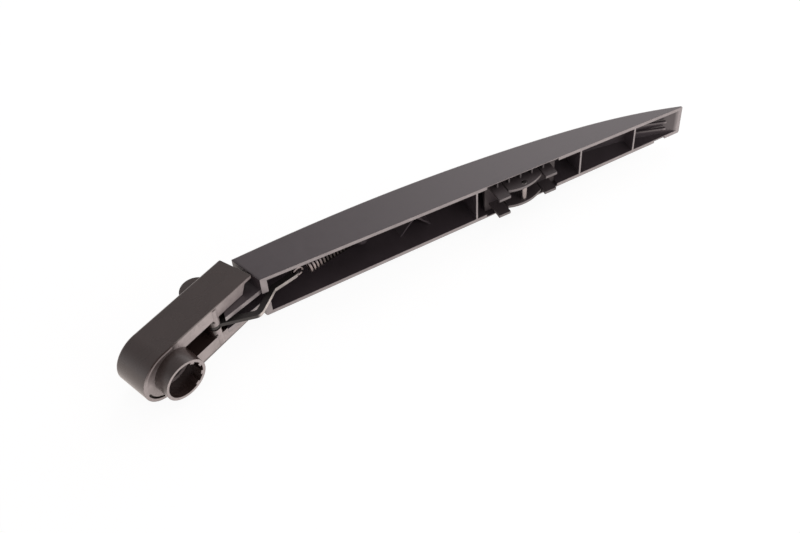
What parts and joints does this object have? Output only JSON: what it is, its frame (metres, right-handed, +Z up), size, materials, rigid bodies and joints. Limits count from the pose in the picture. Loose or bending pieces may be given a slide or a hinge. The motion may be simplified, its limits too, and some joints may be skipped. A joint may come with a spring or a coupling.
{
  "type": "wiper arm",
  "caption": "Rear-window wiper arm: a channel-section arm hinged to a head with a hub tube, pulled to the glass by a coil spring, with a clip and pin for the blade.",
  "frame": {"origin": "centre of the spindle bore's mouth, inside the hub tube", "axes": "+X from the hub towards the tip, +Y along the spindle away from the glass, +Z across the arm; the arm lies on its side with Z up"},
  "size_m": [0.2952, 0.1013, 0.0292],
  "materials": {
    "head_plastic": "satin moulded black",
    "arm_plastic": "satin moulded charcoal",
    "clip_plastic": "moulded black",
    "strap_steel": "zinc plated",
    "spring_steel": "drawn wire",
    "pin_steel": "turned",
    "bush_steel": "turned"
  },
  "bodies": {
    "head_body": {"head": "head_plastic", "spindle_bush": "bush_steel", "hinge_pin": "pin_steel", "strap_pin": "pin_steel"},
    "arm_body": {"arm": "arm_plastic", "blade_clip": "clip_plastic", "blade_pin": "pin_steel", "spring_anchor_pin": "pin_steel"},
    "strap_body": {"spring_strap": "strap_steel", "tension_spring": "spring_steel"},
    "cover_body": {"nut_cover": "head_plastic"}
  },
  "joints": [
    {"name": "arm_lift", "type": "hinge", "parent": "head_body", "child": "arm_body", "pos_m": [0.0455, 0.0165, 0], "axis": [0, 0, 1], "range_deg": [0, 55], "stiffness_Nm_per_rad": 0.05, "springref_deg": -171.89, "deforming": ["tension_spring"]},
    {"name": "strap_swing", "type": "hinge", "parent": "head_body", "child": "strap_body", "pos_m": [0.0285, 0.0046, 0], "axis": [0, 0, 1], "range_deg": [0, 43.45]},
    {"name": "nut_cover_flip", "type": "hinge", "parent": "head_body", "child": "cover_body", "pos_m": [0.03172, 0.01805, 0], "axis": [0, 0, -1], "range_deg": [0, 95]}
  ],
  "couplings": [
    {"joint": "strap_swing", "follows": "arm_lift", "ratio": 0.79}
  ]
}
